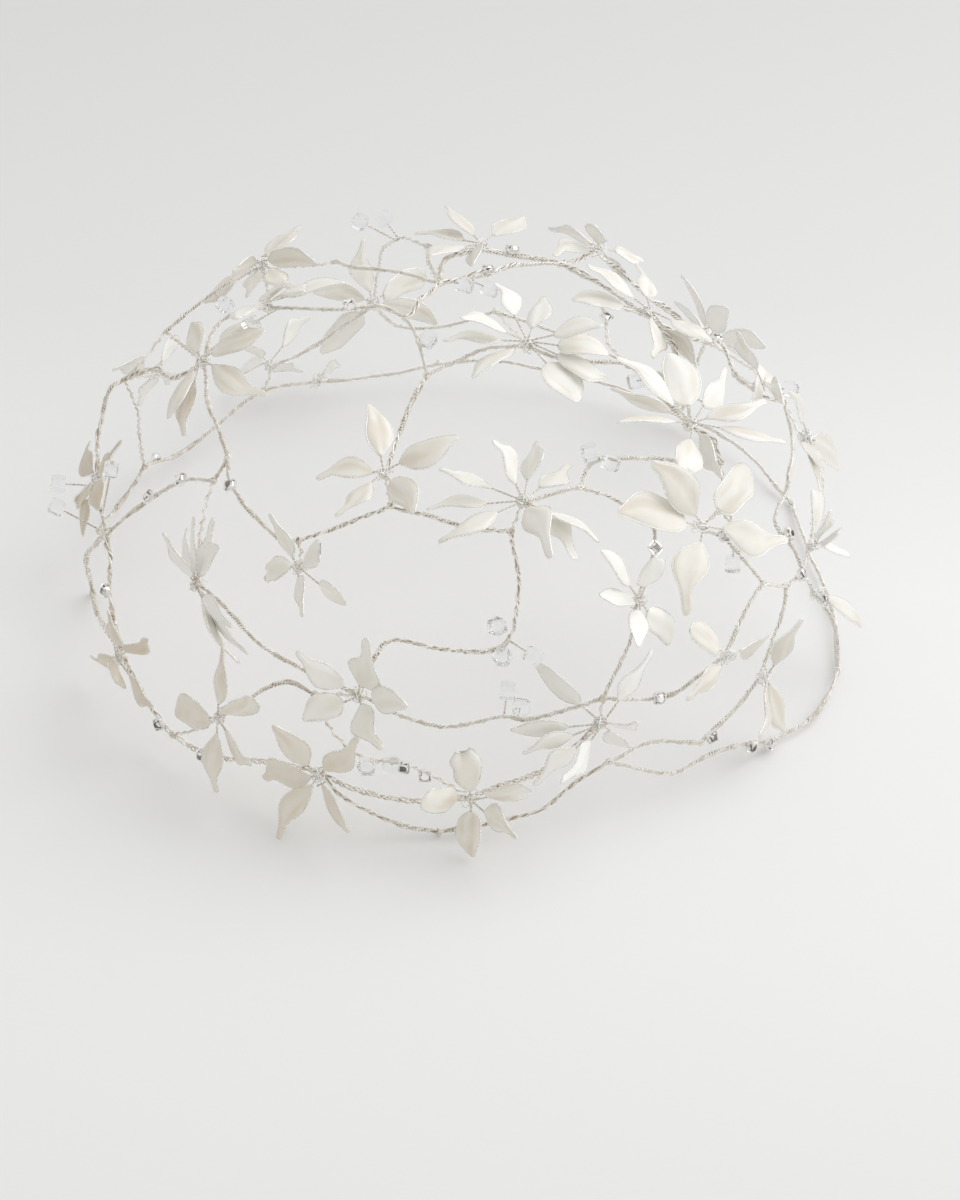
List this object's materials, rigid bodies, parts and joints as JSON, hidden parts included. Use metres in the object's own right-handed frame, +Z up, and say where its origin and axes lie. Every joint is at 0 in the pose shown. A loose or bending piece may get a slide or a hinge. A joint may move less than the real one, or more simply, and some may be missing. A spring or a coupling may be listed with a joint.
{
  "type": "flower crown",
  "caption": "Domed bridal flower crown of twisted silver wire vines with moulded pearly petals on wire stems, set rhinestones and cube crystals.",
  "frame": {"origin": "centre of the head opening, in the plane that the rim's lowest ties stand on", "axes": "+Z up to the crown, -Y towards the front of the head, +X to the right as seen from the front"},
  "size_m": [0.1926, 0.2042, 0.0912],
  "materials": {
    "pearl_petals": "satin pearl",
    "silver_wire": "silver plated",
    "silver_settings": "silver plated, polished",
    "rhinestone_glass": "foiled, polished",
    "crystal_glass": "polished"
  },
  "bodies": {
    "root": {"back_inner_petals": "pearl_petals", "back_inner_vine": "silver_wire", "back_left_inner_petals": "pearl_petals", "back_low_petals": "pearl_petals", "back_right_high_petals": "pearl_petals", "back_right_petals": "pearl_petals", "back_rim_leaf_petals": "pearl_petals", "back_top_petals": "pearl_petals", "crest_back_vine": "silver_wire", "crest_left_vine": "silver_wire", "crown_back_petals": "pearl_petals", "crown_back_vine": "silver_wire", "crown_centre_petals": "pearl_petals", "crown_front_vine": "silver_wire", "crown_left_petals": "pearl_petals", "crown_right_petals": "pearl_petals", "crown_right_vine": "silver_wire", "crystal_stems": "silver_wire", "crystals": "crystal_glass", "flower_bindings": "silver_wire", "front_garland_petals": "pearl_petals", "front_garland_vine": "silver_wire", "front_left_petals": "pearl_petals", "front_right_petals": "pearl_petals", "front_rim_centre_petals": "pearl_petals", "front_rim_left_petals": "pearl_petals", "left_back_petals": "pearl_petals", "left_crest_petals": "pearl_petals", "left_crown_petals": "pearl_petals", "left_edge_petals": "pearl_petals", "left_edge_vine": "silver_wire", "left_rim_petals": "pearl_petals", "left_shoulder_petals": "pearl_petals", "left_shoulder_vine": "silver_wire", "left_small_petals": "pearl_petals", "left_spray_petals": "pearl_petals", "petal_stems_back": "silver_wire", "petal_stems_front": "silver_wire", "petal_stems_left": "silver_wire", "petal_stems_right": "silver_wire", "rhinestone_cups": "silver_settings", "rhinestones": "rhinestone_glass", "right_back_petals": "pearl_petals", "right_edge_low_petals": "pearl_petals", "right_edge_petals": "pearl_petals", "right_edge_vine": "silver_wire", "right_front_vine": "silver_wire", "right_inner_petals": "pearl_petals", "right_large_petals": "pearl_petals", "right_low_petals": "pearl_petals", "right_rim_leaf_petals": "pearl_petals", "right_rim_petals": "pearl_petals", "right_shoulder_vine": "silver_wire", "right_small_petals": "pearl_petals", "rim_back": "silver_wire", "rim_front": "silver_wire", "rim_front_upper": "silver_wire", "rim_left": "silver_wire", "rim_right": "silver_wire", "vine_ties": "silver_wire"}
  },
  "joints": []
}
